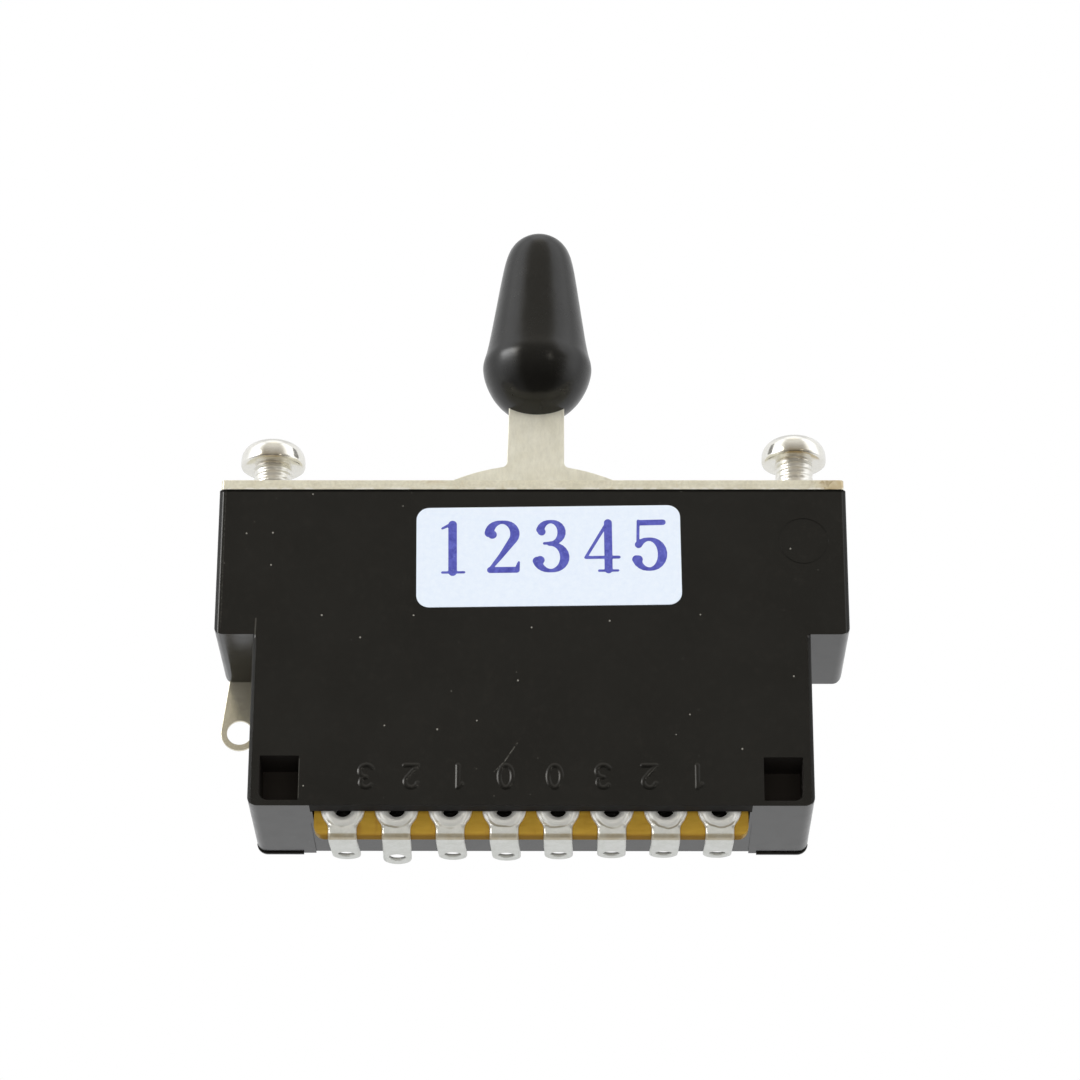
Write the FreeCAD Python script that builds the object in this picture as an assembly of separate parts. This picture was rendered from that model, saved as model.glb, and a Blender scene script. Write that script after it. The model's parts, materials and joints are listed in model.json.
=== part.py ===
import math
import os

import FreeCAD
import Part
from FreeCAD import Vector as V

# Lever selector switch in a closed moulded housing. Millimetres.
# X runs along the top plate, Z is up along the lever, the front face looks to -Y.
# Z = 0 is the top face of the plate, between the two mounting screws.

# ---- driving dimensions -------------------------------------------------
depth = 10.5            # front face to back face
wing_len = 48.6         # upper housing, along X
body_len = 42.56        # lower housing, along X
plate_len = 48.27
plate_t = 0.8
wing_z = -12.9          # underside of the two end wings
body_z = -26.7          # underside of the lower housing, at the front
heel_drop = 0.22        # how much lower the underside is at the back
wall = 1.2
end_wall = 1.5
screw_x = 20.65         # half of the 41.3 mm hole spacing
thread_r = 1.5          # M3
core_r = 1.25           # M3 core, and the core of the tapped holes
pivot_z = -12.2
lever_t = 1.0
lever_r = 15.68         # dust-shield disc around the pivot
lever_tilt = 0.65       # how far the lever leans to +X as stored, degrees
pin_r = 1.25
run_gap = 0.03          # radial running clearance on the pin
slot_half = 11.7
slot_r = 0.68
board_front = -3.25     # Y of the terminal board's front face
board_t = 1.0
board_bottom = -28.37
board_top = -15.0
rivet_z = -26.34
lug_pitch = 4.05
lug_t = 0.3
bend_r = 0.18           # inner radius of the lugs' bend, and of the board's lower front edge
ring_r = 1.65
tail_half = 1.08
tail_hole_r = 0.62
tail_fold = -2.1        # Y where the tails leave the board
tail_len, eye_len = 4.2, 2.83   # from there to the tail's end, and to its wire hole
contact_t = 0.25
track_in, track_out = 7.7, 11.6   # radii of the two wiper tracks
arm_angle = 38.0
notch_step = 14.0
head_r = 2.55

os.makedirs("parts", exist_ok=True)
hy = depth / 2
Y = V(0, 1, 0)
Z = V(0, 0, 1)


def box(x0, x1, y0, y1, z0, z1):
    return Part.makeBox(x1 - x0, y1 - y0, z1 - z0, V(x0, y0, z0))


def cyl_y(r, x, z, y0, y1):
    return Part.makeCylinder(r, y1 - y0, V(x, y0, z), Y)


def cyl_z(r, x, y, z0, z1):
    return Part.makeCylinder(r, z1 - z0, V(x, y, z0), Z)


def fuse(shapes):
    s = shapes[0]
    if len(shapes) > 1:
        s = s.fuse(shapes[1:])
    return s.removeSplitter()


def prism_y(points, y0, y1):
    """Extrude a closed polygon of (x, z) points from y0 to y1."""
    p = [V(x, y0, z) for x, z in points]
    return Part.Face(Part.makePolygon(p + [p[0]])).extrude(V(0, y1 - y0, 0))


def prism_x(points, x0, x1):
    """Extrude a closed polygon of (y, z) points from x0 to x1."""
    p = [V(x0, y, z) for y, z in points]
    return Part.Face(Part.makePolygon(p + [p[0]])).extrude(V(x1 - x0, 0, 0))


def rounded_xz(x0, x1, z0, z1, r_low, y0, y1, drop=0.0):
    """A slab along Y whose two lower corners are rounded, sinking by drop towards y1."""
    c = 1 - math.sqrt(0.5)
    pts = [
        (V(x0, y0, z1), V(x0, y0, z0 + r_low)),
        (V(x0, y0, z0 + r_low), V(x0 + c * r_low, y0, z0 + c * r_low), V(x0 + r_low, y0, z0)),
        (V(x0 + r_low, y0, z0), V(x1 - r_low, y0, z0)),
        (V(x1 - r_low, y0, z0), V(x1 - c * r_low, y0, z0 + c * r_low), V(x1, y0, z0 + r_low)),
        (V(x1, y0, z0 + r_low), V(x1, y0, z1)),
        (V(x1, y0, z1), V(x0, y0, z1)),
    ]
    edges = [Part.makeLine(*p) if len(p) == 2 else Part.Arc(*p).toShape() for p in pts]
    return Part.Face(Part.Wire(edges)).extrude(V(0, y1 - y0, -drop))


def upright(x0, x1, y0, y1, z0, z1, r):
    """A block whose four vertical edges are rounded."""
    b = box(x0, x1, y0, y1, z0, z1)
    es = [e for e in b.Edges if abs(e.Vertexes[0].X - e.Vertexes[1].X) < 1e-6
          and abs(e.Vertexes[0].Y - e.Vertexes[1].Y) < 1e-6]
    return b.makeFillet(r, es)


def sector(r0, r1, a0, a1, y0, y1):
    """Ring sector around the pivot; angles from straight down, positive to +X."""
    ring = cyl_y(r1, 0, pivot_z, y0, y1)
    if r0 > 0:
        ring = ring.cut(cyl_y(r0, 0, pivot_z, y0 - 1, y1 + 1))
    n = max(2, int(abs(a1 - a0) / 30) + 2)
    far = r1 * 1.6
    pts = [(0, pivot_z)]
    for i in range(n + 1):
        a = math.radians(a0 + (a1 - a0) * i / n)
        pts.append((far * math.sin(a), pivot_z - far * math.cos(a)))
    return ring.common(prism_y(pts, y0 - 0.5, y1 + 0.5))


def strip(p, q, w, y0, y1):
    """A flat bar of width w from p to q, both (x, z), with round ends."""
    dx, dz = q[0] - p[0], q[1] - p[1]
    length = math.hypot(dx, dz)
    nx, nz = -dz / length * w / 2, dx / length * w / 2
    bar = prism_y([(p[0] + nx, p[1] + nz), (q[0] + nx, q[1] + nz),
                   (q[0] - nx, q[1] - nz), (p[0] - nx, p[1] - nz)], y0, y1)
    return fuse([bar, cyl_y(w / 2, p[0], p[1], y0, y1), cyl_y(w / 2, q[0], q[1], y0, y1)])


def about_pivot(shape, angle_from_down):
    """Turn a shape that was made pointing straight down towards +X."""
    s = shape.copy()
    s.rotate(V(0, 0, pivot_z), Y, -angle_from_down)
    return s


def leaned(shape):
    s = shape.copy()
    s.rotate(V(0, 0, pivot_z), Y, lever_tilt)
    return s


# ---- housing ------------------------------------------------------------
bx, wx = body_len / 2, wing_len / 2
wings = rounded_xz(-wx, wx, wing_z, -plate_t, 0.75, -hy, hy).common(
    upright(-wx, wx, -hy, hy, wing_z - 1, 0, 0.5))
lower = rounded_xz(-bx, bx, body_z, wing_z + 2, 0.8, -hy, hy, heel_drop).common(
    upright(-bx, bx, -hy, hy, body_z - 1, 0, 0.32))
housing = wings.fuse(lower)
inner_y = hy - wall
housing = housing.cut([
    box(-wx + end_wall, wx - end_wall, -inner_y, inner_y, wing_z + wall, 1),
    box(-19.9, 19.9, -inner_y, inner_y, body_z + wall, wing_z + 2),
])
adds = []
for s in (-1, 1):
    x0, x1 = sorted((s * 17.3, s * 18.3))
    adds.append(box(x0, x1, -inner_y - 0.1, inner_y + 0.1, wing_z + 0.5, -plate_t))
    for y in (-2.9, 2.9):
        adds.append(cyl_z(1.2, s * 17.8, y, wing_z + 0.5, -plate_t))
    # columns that hold the terminal board, and the solid feet below them
    x0, x1 = sorted((s * 16.75, s * 20.0))
    adds.append(box(x0, x1, -inner_y - 0.1, -1.4, body_z + 0.9, board_top))
    adds.append(box(x0, x1, -inner_y - 0.1, inner_y + 0.1, body_z + 0.9, -22.3))
    # seats of the detent spring
    x0, x1 = sorted((s * 10.4, s * 13.5))
    adds.append(box(x0, x1, -0.4, inner_y + 0.1, body_z + 0.9, -22.9))
    x0, x1 = sorted((s * 12.6, s * 13.5))
    adds.append(box(x0, x1, -0.4, inner_y + 0.1, body_z + 0.9, -22.2))
adds.append(cyl_y(2.6, 0, pivot_z, 1.2, inner_y + 0.1))
housing = housing.fuse(adds)

stake_tools, stake_heads = [], []
for sx in (-17.8, 17.8):
    for sy in (-2.9, 2.9):
        stake_tools.append(fuse([
            cyl_z(0.7, sx, sy, -plate_t, -0.34),
            Part.makeCone(0.7, 1.05, 0.35, V(sx, sy, -0.35), Z)]))
        stake_heads.append(fuse([
            cyl_z(0.7, sx, sy, -plate_t - 0.2, -0.34),
            Part.makeCone(0.7, 1.0, 0.3, V(sx, sy, -0.35), Z)]))
housing = housing.fuse(stake_heads)

cuts = []
for s in (-1, 1):
    x0, x1 = sorted((s * 16.7, s * 17.3))
    cuts.append(box(x0, x1, board_front - 0.03, board_front + board_t + 0.03, -25.5, board_top + 0.1))
    # square wells in the lower front corners
    far, sill, lintel = (20.43, -26.3, -22.86) if s > 0 else (20.42, -26.26, -22.74)
    x0, x1 = sorted((s * (far - 2.95), s * far))
    well = box(x0, x1, -hy - 1, -1.6, sill, lintel)
    cut_edges = [e for e in well.Edges
                 if abs(e.Vertexes[0].X - s * far) < 1e-6 and abs(e.Vertexes[1].X - s * far) < 1e-6
                 and abs(e.Vertexes[0].Z - sill) < 1e-6 and abs(e.Vertexes[1].Z - sill) < 1e-6]
    cuts.append(well.makeFillet(0.7, cut_edges))
# slot in the floor for the board, and the slightly raised underside behind it
cuts.append(box(-16.45, 16.45, -inner_y, -1.3, body_z - 1, body_z + wall + 0.01))
cuts.append(prism_x([(-1.4, body_z - 1), (hy + 1, body_z - 1), (hy + 1, body_z - 0.08), (-1.4, body_z + 0.03)], -16.7, 16.7))
# blind seat in the front wall and through hole in the back wall for the pin
cuts.append(cyl_y(pin_r, 0, pivot_z, -4.65, -inner_y + 0.1))
cuts.append(cyl_y(pin_r, 0, pivot_z, 1.0, hy + 1))
# recess for the ground strap
cuts.append(box(-23.95, -22.05, hy - 0.3, hy + 1, wing_z - 1, 0))
cuts.append(box(-23.95, -22.05, 2.0, hy + 1, -plate_t - 0.3, 0))
housing = housing.cut(cuts)

# narrow rims under the two back corners
for s in (-1, 1):
    x0, x1 = sorted((17.3 if s > 0 else -17.65, s * (bx + 1)))
    rim = rounded_xz(-bx - 0.02, bx + 0.02, body_z - heel_drop - 0.14, body_z + 3, 0.85, 5.04, hy)
    housing = housing.fuse(rim.common(box(x0, x1, 4.9, hy, body_z - 1, body_z + 0.45)))
# round ejector mark, high on the right of the front face
mark = cyl_y(1.95, 20.9, -5.2, -hy - 1, -hy + 0.05).cut(cyl_y(1.8, 20.9, -5.2, -hy - 1, -hy + 0.05))
housing = housing.cut(mark)
housing = housing.removeSplitter()

# ---- top plate ------------------------------------------------------------
px = plate_len / 2
top_plate = upright(-px, px, -hy, hy, -plate_t, 0, 0.25)
slot = fuse([box(-slot_half + slot_r, slot_half - slot_r, -slot_r, slot_r, -2, 1),
             cyl_z(slot_r, -slot_half + slot_r, 0, -2, 1), cyl_z(slot_r, slot_half - slot_r, 0, -2, 1)])
tapped = [fuse([cyl_z(core_r, s * screw_x, 0, -2, 1), Part.makeCone(core_r, thread_r, 0.25, V(s * screw_x, 0, -0.25), Z)])
          for s in (-1, 1)]
top_plate = top_plate.cut([slot] + tapped + stake_tools)


# ---- mounting screws --------------------------------------------------------
def screw(x, under_head):
    h = under_head
    prof = [V(0, 0, h), V(head_r - 0.18, 0, h), V(head_r, 0, h + 0.2), V(head_r, 0, h + 0.62)]
    edges = [Part.makeLine(a, b) for a, b in zip(prof, prof[1:])]
    edges.append(Part.Arc(V(head_r, 0, h + 0.62), V(2.05, 0, h + 1.62), V(0.9, 0, h + 2.06)).toShape())
    edges.append(Part.Arc(V(0.9, 0, h + 2.06), V(0.45, 0, h + 2.11), V(0, 0, h + 2.13)).toShape())
    edges.append(Part.makeLine(V(0, 0, h + 2.13), V(0, 0, h)))
    head = Part.Face(Part.Wire(edges)).revolve(V(0, 0, 0), Z, 360)
    arm = [box(-1.5, 1.5, -0.32, 0.32, h + 1.0, h + 3), box(-0.32, 0.32, -1.5, 1.5, h + 1.0, h + 3)]
    head = head.cut(arm)
    shank = Part.makeCylinder(thread_r, h, V(0, 0, 0), Z)
    lead = Part.makeCone(core_r, thread_r, 0.25, V(0, 0, -0.25), Z)
    core = Part.makeCylinder(core_r, 11.35 - h, V(0, 0, h - 11.6), Z)
    tip = Part.makeCone(0.9, core_r, 0.4, V(0, 0, h - 12.0), Z)
    s = fuse([head, shank, lead, core, tip])
    s.translate(V(x, 0, 0))
    return s


screw_left = screw(-screw_x, 3.3)
screw_right = screw(screw_x, 3.65)

# ---- lever ----------------------------------------------------------------
lt = lever_t / 2
disc = sector(0, lever_r, 105, 255, -lt, lt)
sect = sector(0, 8.6, -38, 38, -lt, lt)
hub = cyl_y(3.3, 0, pivot_z, -lt, lt)


def neck_half(z):
    return 2.24 - 0.013 * (z - 5.6)


top_z = 19.6
neck = prism_y([(-neck_half(-8), -8.0), (neck_half(-8), -8.0), (neck_half(top_z), top_z), (-neck_half(top_z), top_z)], -lt, lt)
neck = fuse([neck, cyl_y(neck_half(top_z), 0, top_z, -lt, lt)])
lever = fuse([disc, sect, hub, neck])
# small fillets where the neck leaves the disc
foot = []
for e in lever.Edges:
    if len(e.Vertexes) == 2:
        a, b = e.Vertexes
        if abs(a.X - b.X) < 1e-6 and abs(a.Z - b.Z) < 1e-6 and a.Z > 2.0 and a.Z < 5.0 and abs(a.X) < 3.2:
            foot.append(e)
if foot:
    lever = lever.makeFillet(0.45, foot)
notches = []
for i in range(-2, 3):
    a = math.radians(i * notch_step)
    notches.append(cyl_y(1.0, 9.2 * math.sin(a), pivot_z - 9.2 * math.cos(a), -1, 1))
peg_at = [(5.6 * math.sin(math.radians(a)), pivot_z - 5.6 * math.cos(math.radians(a))) for a in (-25, 25)]
lever = lever.cut(notches + [cyl_y(2.0, 0, pivot_z, -1, 1)] + [cyl_y(0.6, x, z, -1, 1) for x, z in peg_at])
lever = leaned(lever.removeSplitter())

# ---- lever tip ---------------------------------------------------------------
tip_side = [(0.9, 7.92), (1.65, 8.12), (2.25, 8.4), (2.77, 8.77), (3.17, 9.19), (3.54, 9.69), (3.84, 10.23),
            (4.1, 10.83), (4.27, 11.43), (4.35, 12.0), (4.3, 12.5), (4.18, 12.95), (4.06, 13.45), (3.83, 14.7),
            (3.55, 16.5), (3.27, 18.3), (2.99, 20.1), (2.81, 21.1), (2.65, 21.8), (2.43, 22.45), (2.08, 23.05),
            (1.62, 23.51), (1.02, 23.86)]
spl = Part.BSplineCurve()
spl.interpolate([V(r, 0, z) for r, z in tip_side])


def cap(r, z, ball, up):
    """Arc from the axis to (r, z) on a ball centred on the axis, and its pole."""
    zc = z - up * math.sqrt(ball ** 2 - r ** 2)
    a = math.asin(r / ball) / 2
    pole = zc + up * ball
    mid = V(ball * math.sin(a), 0, zc + up * ball * math.cos(a))
    return Part.Arc(V(0, 0, pole), mid, V(r, 0, z)).toShape(), pole


low_cap, tip_low = cap(tip_side[0][0], tip_side[0][1], 4.5, -1)
top_cap, tip_top = cap(tip_side[-1][0], tip_side[-1][1], 2.25, 1)
tip_face = Part.Face(Part.Wire([low_cap, spl.toShape(), top_cap, Part.makeLine(V(0, 0, tip_top), V(0, 0, tip_low))]))
lever_tip = leaned(tip_face.revolve(V(0, 0, 0), Z, 360)).cut(lever)

# ---- contact carrier on the pin -------------------------------------------------
web = sector(0, 6.6, -arm_angle, arm_angle, -1.35, -lt)
arms = []
for a in (-arm_angle, arm_angle):
    arm = fuse([box(-1.6, 1.6, -1.35, -lt, pivot_z - 11.6, pivot_z), cyl_y(1.6, 0, pivot_z - 11.6, -1.35, -lt),
                cyl_y(0.45, 0, pivot_z - (track_in + track_out) / 2, -1.62, -1.35)])
    arms.append(about_pivot(arm, a))
carrier = fuse([cyl_y(2.4, 0, pivot_z, -3.9, -lt), web] + arms
               + [cyl_y(2.0, 0, pivot_z, -lt, 1.15)] + [cyl_y(0.6, x, z, -lt, 0.85) for x, z in peg_at])
carrier = leaned(carrier.cut(cyl_y(pin_r + run_gap, 0, pivot_z, -5, 3)).removeSplitter())


def wiper(angle):
    """A bowed strip with a finger on each track."""
    rm = (track_in + track_out) / 2
    line = [(track_in - 0.8, -1.62), (track_in, -1.91), (rm - 0.75, -1.42), (rm + 0.75, -1.42),
            (track_out, -1.91), (track_out + 0.8, -1.62)]
    h = 0.07
    pts = [V(-0.8, y + h, pivot_z - r) for r, y in line] + [V(-0.8, y - h, pivot_z - r) for r, y in reversed(line)]
    w = Part.Face(Part.makePolygon(pts + [pts[0]])).extrude(V(1.6, 0, 0))
    w = w.cut([cyl_y(0.45, 0, pivot_z - rm, -3, 0), box(-0.12, 0.12, -3, 0, pivot_z - rm + 1.1, pivot_z),
               box(-0.12, 0.12, -3, 0, pivot_z - 20, pivot_z - rm - 1.1)])
    return leaned(about_pivot(w, angle))


wiper_left = wiper(-arm_angle)
wiper_right = wiper(arm_angle)

# ---- pivot pin ---------------------------------------------------------------------
pivot_pin = cyl_y(pin_r, 0, pivot_z, -4.65, hy - 0.05)
pivot_pin = pivot_pin.makeChamfer(0.15, [e for e in pivot_pin.Edges if len(e.Vertexes) == 1 or e.Closed])

# ---- terminal board and what is riveted to it ---------------------------------------
by0, by1 = board_front, board_front + board_t
lug_x = [(i - 3.5) * lug_pitch for i in range(8)]
tongue = rounded_xz(-16.35, 16.35, board_bottom, -25.0, 0.8, by0, by1)
board = fuse([tongue, box(-17.25, 17.25, by0, by1, -25.5, board_top)])
nose = prism_x([(by0, board_bottom), (by0 + bend_r, board_bottom), (by0, board_bottom + bend_r)], -20, 20).cut(
    Part.makeCylinder(bend_r, 40, V(-20, by0 + bend_r, board_bottom + bend_r), V(1, 0, 0)))
board = board.cut([nose] + [cyl_y(0.8, x, rivet_z, by0 - 1, by1 + 1) for x in lug_x])

# the tails are bent by hand: how far each one rises and turns to +X, degrees
tail_rise = [2.3, -3.2, 1.6, 1.0, 2.3, 3.6, 4.1, 4.2]
tail_turn = [1.7, -1.5, 1.6, 2.3, 0.8, 0.0, -1.6, -1.0]
lugs = []
for x, rise, turn in zip(lug_x, tail_rise, tail_turn):
    yf, yb = board_front - lug_t, board_front
    rf = 0.85
    cx = tail_half + rf
    cz = rivet_z - math.sqrt((ring_r + rf) ** 2 - cx ** 2)
    k = ring_r / (ring_r + rf)
    tx, tz = cx * k, rivet_z + (cz - rivet_z) * k
    webbed = prism_y([(-tx, tz), (tx, tz), (cx, cz), (-cx, cz)], yf, yb).cut(
        [cyl_y(rf, sx * cx, cz, yf - 1, yb + 1) for sx in (-1, 1)])
    by, bz = yb + bend_r, board_bottom + bend_r
    flat = fuse([cyl_y(ring_r, 0, rivet_z, yf, yb), webbed, box(-tail_half, tail_half, yf, yb, bz, cz + 0.001)])
    bend = Part.makeCylinder(lug_t + bend_r, 2 * tail_half, V(-tail_half, by, bz), V(1, 0, 0)).common(
        box(-5, 5, yf - 1, by, board_bottom - 1, bz)).cut(
        Part.makeCylinder(bend_r, 4 * tail_half, V(-2 * tail_half, by, bz), V(1, 0, 0)))
    up, yaw, w = math.radians(rise), math.radians(turn), tail_half
    cr, sr, cw, sw = math.cos(up), math.sin(up), math.cos(yaw), math.sin(yaw)
    edge_on = prism_x([(by, board_bottom), (tail_fold, board_bottom), (tail_fold + 6 * cr, board_bottom + 6 * sr),
                       (tail_fold + 6 * cr + lug_t * sr, board_bottom + 6 * sr - lug_t * cr),
                       (tail_fold + lug_t * math.tan(up / 2), board_bottom - lug_t), (by, board_bottom - lug_t)], -3, 3)
    ey = tail_fold + (tail_len - w) * cr
    ex = (ey - tail_fold) * sw / cw
    corner = [(-w, by), (w, by), (w, tail_fold), (ex + w * cw, ey - w * sw), (ex - w * cw, ey + w * sw), (-w, tail_fold)]
    corner = [V(a, b, board_bottom - 2) for a, b in corner]
    sides = [Part.makeLine(corner[i], corner[i + 1]) for i in (0, 1, 2, 4)] + [Part.makeLine(corner[5], corner[0])]
    sides.insert(3, Part.Arc(corner[3], V(ex + w * sw, ey + w * cw, board_bottom - 2), corner[4]).toShape())
    tail = edge_on.common(Part.Face(Part.Wire(sides)).extrude(V(0, 0, 4)))
    lug = fuse([flat, bend, tail])
    eye = V(eye_len * cr * sw / cw, tail_fold + eye_len * cr, board_bottom + eye_len * sr)
    lug = lug.cut([cyl_y(0.8, 0, rivet_z, yf - 1, yb + 1),
                   Part.makeCylinder(tail_hole_r, 2, eye + V(0, sr, -cr), V(0, -sr, cr))])
    lug.translate(V(x, 0, 0))
    lugs.append(lug.removeSplitter())

# eyelets: a domed shoulder rolled over the lug, a flat one on the contact
yf, yb = board_front - lug_t, by1 + contact_t
eyelet = [
    Part.Arc(V(0.65, yf + 0.12, 0), V(0.77, yf - 0.11, 0), V(1.0, yf - 0.22, 0)).toShape(),
    Part.Arc(V(1.0, yf - 0.22, 0), V(1.25, yf - 0.16, 0), V(1.42, yf - 0.03, 0)).toShape(),
    Part.makeLine(V(1.42, yf - 0.03, 0), V(1.42, yf, 0)),
    Part.makeLine(V(1.42, yf, 0), V(0.8, yf, 0)),
    Part.makeLine(V(0.8, yf, 0), V(0.8, yb, 0)),
    Part.makeLine(V(0.8, yb, 0), V(1.2, yb, 0)),
    Part.makeLine(V(1.2, yb, 0), V(1.2, yb + 0.08, 0)),
    Part.Arc(V(1.2, yb + 0.08, 0), V(1.165, yb + 0.165, 0), V(1.08, yb + 0.2, 0)).toShape(),
    Part.makeLine(V(1.08, yb + 0.2, 0), V(0.65, yb + 0.2, 0)),
    Part.makeLine(V(0.65, yb + 0.2, 0), V(0.65, yf + 0.12, 0)),
]
rivets = []
for x in lug_x:
    r = Part.Face(Part.Wire(eyelet)).revolve(V(0, 0, 0), Y, 360)
    r.translate(V(x, 0, rivet_z))
    rivets.append(r)
terminal_rivets = Part.makeCompound(rivets)


def polar(r, a):
    return (r * math.sin(math.radians(a)), pivot_z - r * math.cos(math.radians(a)))


def contact(kind, s):
    """Stamped contact strip on the back of the board, s is the side."""
    y0, y1 = by1, by1 + contact_t
    ro0, ro1, ri0, ri1 = track_out - 0.9, track_out + 0.9, track_in - 0.9, track_in + 0.9
    xr = {"outer": 14.175, "middle": 10.125, "inner": 6.075, "common": 2.025}[kind]
    if kind == "outer":
        parts = [sector(ro0, ro1, 52.6, 71, y0, y1), strip(polar(track_out, 62), (14.175, -19.8), 1.0, y0, y1),
                 strip((14.175, -19.8), (xr, rivet_z), 1.0, y0, y1)]
    elif kind == "middle":
        parts = [sector(ro0, ro1, 24.7, 51.3, y0, y1), strip(polar(track_out, 45), (10.125, -22.3), 1.0, y0, y1),
                 strip((10.125, -22.3), (xr, rivet_z), 1.0, y0, y1)]
    elif kind == "inner":
        parts = [sector(ro0, ro1, 6.3, 23.4, y0, y1), strip((3.95, -23.3), (xr, rivet_z), 0.9, y0, y1)]
    else:
        parts = [sector(ri0, ri1, 3.0, 71, y0, y1), strip((0.66, -19.6), (0.66, -25.3), 0.7, y0, y1),
                 strip((0.66, -25.3), (xr, rivet_z), 0.7, y0, y1)]
    parts.append(cyl_y(1.3, xr, rivet_z, y0, y1))
    c = fuse(parts).cut(cyl_y(0.8, xr, rivet_z, y0 - 1, y1 + 1)).removeSplitter()
    if s < 0:
        c = c.mirror(V(0, 0, 0), V(1, 0, 0))
    return c


# ---- detent spring ---------------------------------------------------------------------
bump_z = pivot_z - 9.05
sy0, sy1 = -0.4, 2.4
arch = cyl_y(0.8, 0, bump_z, sy0, sy1).cut([cyl_y(0.5, 0, bump_z, sy0 - 1, sy1 + 1),
                                            box(-2, 2, sy0 - 1, sy1 + 1, bump_z - 2, bump_z)])
t = 0.3
legs = []
for s in (-1, 1):
    leg = prism_y([(s * 0.5, bump_z), (s * 0.8, bump_z), (s * 0.95, bump_z - 0.12), (s * 10.6, -22.6), (s * 12.4, -22.6),
                   (s * 12.4, -22.9), (s * 10.6, -22.9), (s * 0.85, bump_z - 0.42), (s * 0.5, bump_z - 0.2)], sy0, sy1)
    legs.append(leg)
detent_spring = fuse([arch] + legs)

# ---- ground lug -----------------------------------------------------------------------
gx, gz = -23.0, -17.13
eye_r = 1.46
g0, g1 = hy - 0.3, hy
# below the wing the strap widens and runs tangent to the eye
reach = math.hypot(0.93, wing_z - gz)
touch = math.atan2(wing_z - gz, 0.93) - math.acos(eye_r / reach)
tu, tw = eye_r * math.cos(touch), eye_r * math.sin(touch)
strap = fuse([
    box(gx - 0.93, gx + 0.93, g0, g1, wing_z, -plate_t - 0.3),
    prism_y([(gx - 0.93, wing_z), (gx + 0.93, wing_z), (gx + tu, gz + tw), (gx, gz), (gx - tu, gz + tw)], g0, g1),
    cyl_y(eye_r, gx, gz, g0, g1),
    box(gx - 0.93, gx + 0.93, 2.05, g1 - 0.3, -plate_t - 0.3, -plate_t),
    Part.makeCylinder(0.3, 1.86, V(gx - 0.93, g0, -plate_t - 0.3), V(1, 0, 0)).common(
        box(gx - 2, gx + 2, g0, g1 + 1, -plate_t - 0.3, 0)),
])
ground_lug = strap.cut(cyl_y(1.0, gx, gz, g0 - 1, g1 + 1)).removeSplitter()

# ---- label on the front face ------------------------------------------------------------
lab = box(-10.18, 10.18, -hy - 0.08, -hy, -4.15, 4.15)
lab = lab.makeFillet(1.0, [e for e in lab.Edges if abs(e.Vertexes[0].Y - e.Vertexes[1].Y) > 0.05])
lab.rotate(V(0, 0, 0), Y, -0.75)
lab.translate(V(1.28, 0, -6.44))

nodes = {
    "housing": housing,
    "top_plate": top_plate,
    "mounting_screw_left": screw_left,
    "mounting_screw_right": screw_right,
    "lever": lever,
    "lever_tip": lever_tip,
    "contact_carrier": carrier,
    "wiper_left": wiper_left,
    "wiper_right": wiper_right,
    "pivot_pin": pivot_pin,
    "terminal_board": board,
    "terminal_rivets": terminal_rivets,
    "detent_spring": detent_spring,
    "ground_lug": ground_lug,
    "front_label": lab,
    "left_contact_outer": contact("outer", -1),
    "left_contact_middle": contact("middle", -1),
    "left_contact_inner": contact("inner", -1),
    "left_contact_common": contact("common", -1),
    "right_contact_common": contact("common", 1),
    "right_contact_inner": contact("inner", 1),
    "right_contact_middle": contact("middle", 1),
    "right_contact_outer": contact("outer", 1),
}
for i, lug in enumerate(lugs):
    nodes["solder_lug_%d" % (i + 1)] = lug

for name, shape in nodes.items():
    solids = shape.Solids
    bad = [s for s in solids if not s.isValid()]
    print(name, "solids", len(solids), "volume", round(sum(s.Volume for s in solids), 3), "invalid", len(bad))
    if len(solids) == 1:
        shape = solids[0]
    shape.exportStep("parts/%s.step" % name)
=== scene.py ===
import json
import math

import bpy
import bmesh
import numpy as np
from mathutils import Matrix, Vector


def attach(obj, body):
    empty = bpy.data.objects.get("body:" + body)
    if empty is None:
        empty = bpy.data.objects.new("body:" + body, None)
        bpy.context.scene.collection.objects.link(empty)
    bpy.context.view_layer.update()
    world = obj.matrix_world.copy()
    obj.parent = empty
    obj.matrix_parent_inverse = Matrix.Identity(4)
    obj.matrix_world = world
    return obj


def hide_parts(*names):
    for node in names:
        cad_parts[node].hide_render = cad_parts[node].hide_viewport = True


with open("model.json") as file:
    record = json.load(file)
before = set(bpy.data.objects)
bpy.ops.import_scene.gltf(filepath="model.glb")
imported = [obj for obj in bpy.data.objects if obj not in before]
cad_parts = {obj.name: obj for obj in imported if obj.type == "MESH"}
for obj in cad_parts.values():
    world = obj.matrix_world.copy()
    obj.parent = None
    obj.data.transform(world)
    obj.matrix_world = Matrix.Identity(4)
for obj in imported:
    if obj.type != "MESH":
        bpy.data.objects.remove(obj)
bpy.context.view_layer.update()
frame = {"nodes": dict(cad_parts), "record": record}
scene = bpy.context.scene
nodes = frame["nodes"]
MM = 0.001
PIVOT_Z = -12.2 * MM
LEAN = math.radians(0.65)


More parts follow.
